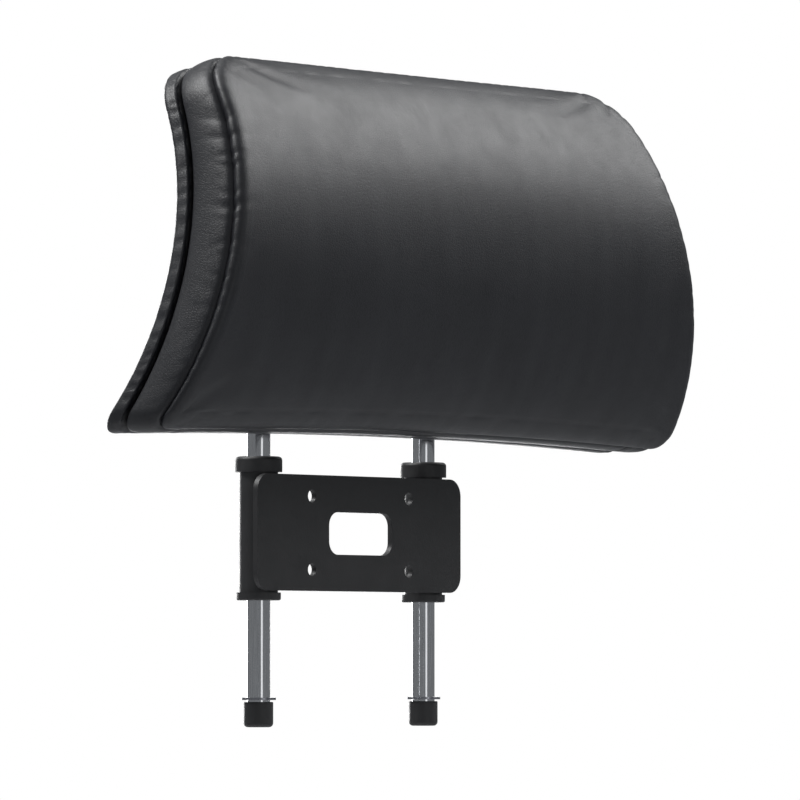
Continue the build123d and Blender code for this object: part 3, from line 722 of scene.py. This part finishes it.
def leather_material():
    """Black corrected-grain leather: fine pebble grain with painted shade in its creases, pores, soft
    mottling and a satin finish.
    """
    material, tree, shader = new_material("black_leather")
    point = object_point(tree)
    wobble = node(tree, "ShaderNodeTexNoise", {"Vector": point, "Scale": 300.0, "Detail": 2.0})
    inputs = {0: wobble.outputs["Color"], "Scale": 0.0012}
    scaled = node(tree, "ShaderNodeVectorMath", inputs, operation="SCALE")
    warped = node(tree, "ShaderNodeVectorMath", {0: point, 1: scaled.outputs[0]}, operation="ADD")
    inputs = {"Vector": warped.outputs[0], "Scale": 720.0}
    cells = node(tree, "ShaderNodeTexVoronoi", inputs, feature="DISTANCE_TO_EDGE")
    creases = spread(tree, cells.outputs["Distance"], 0.0, 0.16, 0.0, 1.0)
    pores = spread(tree, noise(tree, point, 2600.0, detail=2.0), 0.35, 0.6, 0.0, 1.0)
    mottle = noise(tree, point, 22.0, detail=4.0)
    tone = patchy(tree, mottle, 0.0, 1.0)
    colour = tint(tree, tone, (0.0110, 0.0115, 0.0143), (0.0158, 0.0166, 0.0200))
    # Painted shade: the colour is darkened in the grain's creases, where shade would fall in them
    painted_crease_shade = tint(tree, creases, (0.35, 0.35, 0.35), (1, 1, 1))
    colour = mix_colours(tree, 0.5, colour, painted_crease_shade, blend_type="MULTIPLY")
    roughness = patchy(tree, noise(tree, point, 60.0, detail=5.0, roughness=0.6), 0.36, 0.46)
    grain = bump(tree, creases, 0.28, 0.00016)
    fine = bump(tree, pores, 0.12, 0.00006, grain)
    dress(tree, shader, colour, roughness, bump(tree, mottle, 0.25, 0.0006, fine))
    shader.inputs["Specular IOR Level"].default_value = 0.32
    shader.inputs["Coat Weight"].default_value = 0.07
    shader.inputs["Coat Roughness"].default_value = 0.32
    return material


def coated_steel_material():
    """Satin black powder coat with its orange-peel texture."""
    material, tree, shader = new_material("black_powder_coat")
    point = object_point(tree)
    tone = noise(tree, point, 40.0, detail=4.0)
    colour = tint(tree, tone, (0.011, 0.011, 0.012), (0.02, 0.02, 0.021))
    roughness = patchy(tree, noise(tree, point, 90.0, detail=4.0), 0.38, 0.52)
    peel = noise(tree, point, 900.0, detail=2.0)
    dress(tree, shader, colour, roughness, bump(tree, peel, 0.25, 0.0002))
    return material


def chrome_material():
    """Polished chrome, with faint drawing marks along the rod."""
    material, tree, shader = new_material("polished_chrome")
    point = object_point(tree)
    stretched = node(tree, "ShaderNodeMapping", {"Vector": point, "Scale": (1.0, 1.0, 0.04)})
    marks = noise(tree, stretched.outputs[0], 1600.0, detail=3.0)
    colour = tint(tree, marks, (0.62, 0.63, 0.65), (0.72, 0.73, 0.75))
    roughness = spread(tree, marks, 0.2, 0.8, 0.05, 0.16)
    dress(tree, shader, colour, roughness, bump(tree, marks, 0.04, 0.00005))
    shader.inputs["Metallic"].default_value = 1.0
    return material


def zinc_material():
    """Zinc-plated steel: grey with bluish and yellowish patches."""
    material, tree, shader = new_material("zinc_plate")
    point = object_point(tree)
    patches = noise(tree, point, 120.0, detail=4.0)
    colour = tint(tree, patches, (0.42, 0.43, 0.47), (0.58, 0.56, 0.50))
    roughness = patchy(tree, noise(tree, point, 500.0, detail=3.0), 0.22, 0.42)
    crystals = noise(tree, point, 2400.0, detail=2.0)
    dress(tree, shader, colour, roughness, bump(tree, crystals, 0.12, 0.00005))
    shader.inputs["Metallic"].default_value = 1.0
    return material


def spring_material():
    """Bright spring steel, blued a little by its heat treatment."""
    material, tree, shader = new_material("spring_steel")
    point = object_point(tree)
    tone = noise(tree, point, 160.0, detail=3.0)
    colour = tint(tree, tone, (0.20, 0.21, 0.24), (0.34, 0.34, 0.36))
    roughness = patchy(tree, noise(tree, point, 700.0, detail=3.0), 0.2, 0.38)
    dress(tree, shader, colour, roughness)
    shader.inputs["Metallic"].default_value = 1.0
    return material


def plastic_material(name, dark, light, smoothest, roughest):
    """Moulded plastic with a fine spark-eroded texture."""
    material, tree, shader = new_material(name)
    point = object_point(tree)
    colour = tint(tree, noise(tree, point, 35.0, detail=4.0), dark, light)
    roughness = patchy(tree, noise(tree, point, 200.0, detail=4.0), smoothest, roughest)
    texture = node(tree, "ShaderNodeTexVoronoi", {"Vector": point, "Scale": 1500.0})
    dress(tree, shader, colour, roughness, bump(tree, texture.outputs["Distance"], 0.2, 0.0001))
    return material


def plywood_material():
    """Pressed plywood with its grain along X."""
    material, tree, shader = new_material("pressed_plywood")
    point = object_point(tree)
    along = node(tree, "ShaderNodeMapping", {"Vector": point, "Scale": (0.12, 1.0, 1.0)})
    grain = noise(tree, along.outputs[0], 260.0, detail=6.0, roughness=0.65)
    colour = tint(tree, grain, (0.30, 0.19, 0.10), (0.55, 0.39, 0.22))
    dress(tree, shader, colour, patchy(tree, grain, 0.62, 0.78), bump(tree, grain, 0.3, 0.0003))
    return material


def paint(obj, material):
    obj.data.materials.clear()
    obj.data.materials.append(material)


def paint_cad_nodes(leather):
    """Each CAD node gets its finish's material, by the record's slot. The foam is out of sight."""
    powder_coat = coated_steel_material()
    materials = {
        "black_steel": powder_coat,
        "cast_aluminium": powder_coat,
        "black_nylon": plastic_material(
            "black_nylon", (0.010, 0.010, 0.011), (0.016, 0.016, 0.017), 0.42, 0.58
        ),
        "shell_plastic": plastic_material(
            "shell_plastic", (0.009, 0.009, 0.010), (0.013, 0.013, 0.014), 0.5, 0.62
        ),
        "white_nylon": plastic_material(
            "white_nylon", (0.55, 0.54, 0.50), (0.62, 0.61, 0.57), 0.4, 0.5
        ),
        "chrome": chrome_material(),
        "zinc_steel": zinc_material(),
        "spring_steel": spring_material(),
        "plywood": plywood_material(),
        "black_leather": leather,
    }
    slot_of = {row["node"]: row["material_slot"] for row in frame["record"]["subparts"]}
    for name, obj in frame["nodes"].items():
        if slot_of[name] in materials:
            paint(obj, materials[slot_of[name]])


# ---------------------------------------------------------------- stage, lights and camera
FLOOR_Z, FLOOR_REACH = -0.98, 30.0  # the chair's floor, under the bolt pattern


def build_stage():
    material, tree, shader = new_material("pale_floor")
    tone = noise(tree, object_point(tree), 1.5, detail=3.0)
    colour = tint(tree, tone, (0.74, 0.74, 0.75), (0.78, 0.78, 0.79))
    tree.links.new(colour, shader.inputs["Base Color"])
    shader.inputs["Roughness"].default_value = 0.8
    corners = [(-1, -1), (1, -1), (1, 1), (-1, 1)]
    places = [(x * FLOOR_REACH, y * FLOOR_REACH, FLOOR_Z) for x, y in corners]
    floor = new_object("floor", places, [(0, 1, 2, 3)])
    paint(floor, material)


ROOM_COLOUR = (0.94, 0.97, 1.0, 1)
ROOM_DIM, ROOM_BRIGHT = 0.20, 0.52  # the room's light at the horizon and overhead


def build_world():
    """A white studio: its walls show white, and light the object dimly, most from above."""
    world = bpy.data.worlds.new("studio")
    scene = bpy.context.scene
    scene.world = world
    scene.view_settings.view_transform = "Standard"
    world.use_nodes = True
    tree = world.node_tree
    backdrop = tree.nodes["Background"]
    backdrop.inputs["Strength"].default_value = 1.0
    backdrop.inputs["Color"].default_value = (1, 1, 1, 1)
    direction = node(tree, "ShaderNodeTexCoord").outputs["Generated"]
    height = node(tree, "ShaderNodeSeparateXYZ", {0: direction}).outputs["Z"]
    strength = spread(tree, height, 0.15, 0.9, ROOM_DIM, ROOM_BRIGHT)
    room = node(tree, "ShaderNodeBackground", {"Color": ROOM_COLOUR, "Strength": strength})
    seen = node(tree, "ShaderNodeLightPath").outputs["Is Camera Ray"]
    mix = node(tree, "ShaderNodeMixShader", {0: seen, 1: room.outputs[0], 2: backdrop.outputs[0]})
    tree.links.new(mix.outputs[0], tree.nodes["World Output"].inputs["Surface"])


# Softboxes: name, direction from the pad, distance, width, height, power, and beam in degrees
SOFTBOXES = (
    ("key", (0.65, -0.36, 0.60), 3.0, 3.0, 1.8, 14.0, 60),
    ("overhead", (0.0, 0.35, 1.0), 2.3, 2.4, 2.0, 4.5, 80),
    ("rear_left", (-0.50, 0.50, 0.75), 1.2, 0.7, 0.5, 3.6, 90),
    ("rear_right", (0.60, 0.85, 0.02), 2.2, 1.6, 1.0, 6.0, 60),
    ("front_fill", (-0.3, -0.9, 0.02), 3.2, 1.0, 1.8, 5.0, 180),
)


def build_lights():
    target = Vector((0, -0.02, PAD_Z))
    for name, direction, distance, width, height, power, beam in SOFTBOXES:
        light = bpy.data.lights.new(name, "AREA")
        light.shape = "RECTANGLE"
        light.size, light.size_y, light.energy = width, height, power
        light.spread = math.radians(beam)
        lamp = bpy.data.objects.new(name, light)
        bpy.context.scene.collection.objects.link(lamp)
        lamp.location = target + Vector(direction).normalized() * distance
        lamp.rotation_euler = (target - lamp.location).to_track_quat("-Z", "Y").to_euler()


AZIMUTH, ELEVATION = -51.3, -2.2  # the photo's viewing angle, in degrees
DISTANCE, LENS = 3.69, 320.0  # metres and millimetres
SENSOR, CLIP_END = 36.0, 200.0  # millimetres and metres


def build_camera():
    low, high = (Vector(c) for c in cad_box)
    centre = (low + high) / 2
    a, e = math.radians(AZIMUTH), math.radians(ELEVATION)
    back = Vector((math.sin(a) * math.cos(e), -math.cos(a) * math.cos(e), math.sin(e)))
    data = bpy.data.cameras.new("camera")
    data.lens, data.sensor_width = LENS, SENSOR
    data.clip_end = CLIP_END
    camera = bpy.data.objects.new("camera", data)
    bpy.context.scene.collection.objects.link(camera)
    camera.location = centre + back * DISTANCE
    camera.rotation_euler = (-back).to_track_quat("-Z", "Y").to_euler()
    bpy.context.scene.camera = camera


# ---------------------------------------------------------------- the whole headrest
STANDS_FOR = {
    "front_panel_leather": ("cover_front_panel", "foam_pad"),
    "gusset_leather_left": ("cover_gusset_left",),
    "gusset_leather_right": ("cover_gusset_right",),
    "top_strip_leather": ("cover_top_strip",),
    "bottom_strip_leather": ("cover_bottom_strip",),
    "rear_cover_leather": ("rear_cover",),
}


def place_leather(obj, leather):
    """Paint a panel, carry it on the pad, and put it in place of the CAD's own."""
    paint(obj, leather)
    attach(obj, "pad")
    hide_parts(*STANDS_FOR[obj.name])


def build():
    build_camera()
    build_lights()
    build_world()
    build_stage()
    leather = leather_material()
    paint_cad_nodes(leather)
    for obj in build_cover().values():
        place_leather(obj, leather)
    place_leather(build_rear_cover(), leather)


build()
